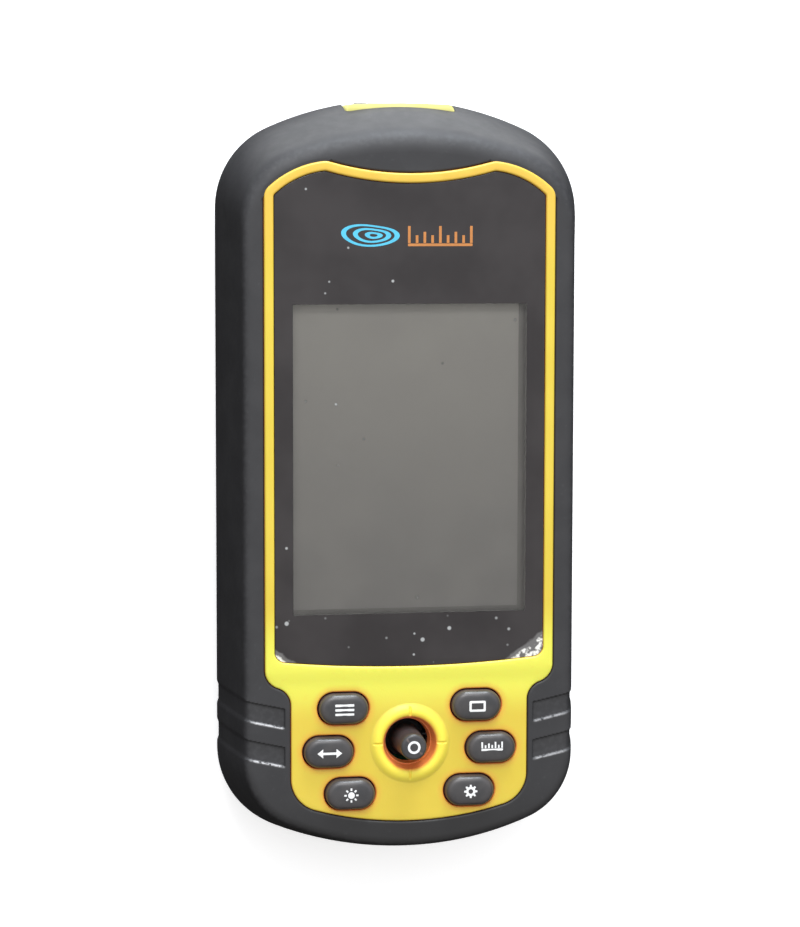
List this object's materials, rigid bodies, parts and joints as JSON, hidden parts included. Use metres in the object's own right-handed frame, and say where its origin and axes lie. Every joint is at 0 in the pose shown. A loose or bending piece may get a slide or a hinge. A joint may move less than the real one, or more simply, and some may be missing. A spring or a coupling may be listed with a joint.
{
  "type": "handheld data collector",
  "caption": "Pocket field data collector with a tall display, oblong keys, a tilting joystick, rubber bumpers, a hinged port flap and a hinged battery door.",
  "frame": {"origin": "middle of the footprint, on the surface that the back rests on", "axes": "+Z out of the display, +Y towards the top end with the port, +X to the user's right"},
  "size_m": [0.0768, 0.1594, 0.0389],
  "materials": {
    "yellow_plastic": "satin moulded ABS",
    "black_rubber": "fine-grained overmoulded rubber",
    "dark_plastic": "textured moulded plastic",
    "seal_rubber": "smooth silicone",
    "black_tape": "matte adhesive film",
    "window_glass": "polished, printed black behind, clear over the display",
    "lcd_glass": "display switched off, soft sheen",
    "white_plastic": "white light guide",
    "sheet_metal": "tinned sheet",
    "flex_film": "copper-coloured film",
    "spring_steel": "bright snap domes",
    "steel": "brushed stainless",
    "brass": "turned brass and gilded springs",
    "key_plastic": "satin dark grey",
    "black_nylon": "moulded nylon",
    "green_board": "green solder mask",
    "antenna_ceramic": "fired ceramic with a silvered face",
    "battery_wrap": "shrink wrap"
  },
  "bodies": {
    "case": {"front_housing": "yellow_plastic", "front_bumper": "black_rubber", "rear_bumper": "black_rubber", "rear_housing": "dark_plastic", "case_gasket": "seal_rubber", "door_gasket": "seal_rubber", "keypad_mat": "seal_rubber", "window_tape": "black_tape", "display_window": "window_glass", "lcd_panel": "lcd_glass", "backlight": "white_plastic", "lcd_frame": "sheet_metal", "lcd_flex": "flex_film", "key_domes": "spring_steel", "joystick_base": "black_nylon", "main_board": "green_board", "shield_cans": "sheet_metal", "gnss_antenna": "antenna_ceramic", "usb_socket": "sheet_metal", "buzzer": "black_nylon", "flap_pin": "steel", "door_pins": "steel", "battery_pack": "battery_wrap", "battery_contacts": "brass", "screw_insert": "brass", "case_screws": "steel", "board_screws": "steel"},
    "menu_key": {"menu_key": "key_plastic"},
    "distance_key": {"distance_key": "key_plastic"},
    "light_key": {"light_key": "key_plastic"},
    "area_key": {"area_key": "key_plastic"},
    "unit_key": {"unit_key": "key_plastic"},
    "settings_key": {"settings_key": "key_plastic"},
    "gimbal": {"gimbal_ring": "steel"},
    "stick_shaft": {"joystick_pivot": "steel"},
    "stick_cap": {"joystick_cap": "key_plastic"},
    "flap": {"port_flap": "yellow_plastic"},
    "door": {"battery_door": "dark_plastic"},
    "stud": {"door_screw": "steel"},
    "ring": {"d_ring": "steel"}
  },
  "joints": [
    {"name": "menu_key_press", "type": "slide", "parent": "case", "child": "menu_key", "axis": [0, 0, -1], "range_m": [0, 0.0006], "stiffness_N_per_m": 600},
    {"name": "distance_key_press", "type": "slide", "parent": "case", "child": "distance_key", "axis": [0, 0, -1], "range_m": [0, 0.0006], "stiffness_N_per_m": 600},
    {"name": "light_key_press", "type": "slide", "parent": "case", "child": "light_key", "axis": [0, 0, -1], "range_m": [0, 0.0006], "stiffness_N_per_m": 600},
    {"name": "area_key_press", "type": "slide", "parent": "case", "child": "area_key", "axis": [0, 0, -1], "range_m": [0, 0.0006], "stiffness_N_per_m": 600},
    {"name": "unit_key_press", "type": "slide", "parent": "case", "child": "unit_key", "axis": [0, 0, -1], "range_m": [0, 0.0006], "stiffness_N_per_m": 600},
    {"name": "settings_key_press", "type": "slide", "parent": "case", "child": "settings_key", "axis": [0, 0, -1], "range_m": [0, 0.0006], "stiffness_N_per_m": 600},
    {"name": "stick_up_down", "type": "hinge", "parent": "case", "child": "gimbal", "pos_m": [0, -0.0544, 0.0238], "axis": [1, 0, 0], "range_deg": [-7, 7], "stiffness_Nm_per_rad": 0.02},
    {"name": "stick_left_right", "type": "hinge", "parent": "gimbal", "child": "stick_shaft", "pos_m": [0, -0.0544, 0.0238], "axis": [0, 1, 0], "range_deg": [-7, 7], "stiffness_Nm_per_rad": 0.02},
    {"name": "stick_press", "type": "slide", "parent": "stick_shaft", "child": "stick_cap", "axis": [0, 0, -1], "range_m": [0, 0.0004], "stiffness_N_per_m": 600},
    {"name": "port_flap_hinge", "type": "hinge", "parent": "case", "child": "flap", "pos_m": [0, 0.078, 0.0088], "axis": [-1, 0, 0], "range_deg": [0, 95]},
    {"name": "battery_door_hinge", "type": "hinge", "parent": "case", "child": "door", "pos_m": [0, 0.014, 0.0022], "axis": [1, 0, 0], "range_deg": [0, 95]},
    {"name": "door_stud_turn", "type": "hinge", "parent": "door", "child": "stud", "pos_m": [0, -0.051, 0.0022], "axis": [0, 0, 1], "range_deg": [0, 90]},
    {"name": "d_ring_fold", "type": "hinge", "parent": "stud", "child": "ring", "pos_m": [0, -0.051, 0.0022], "axis": [1, 0, 0], "range_deg": [0, 180]}
  ]
}
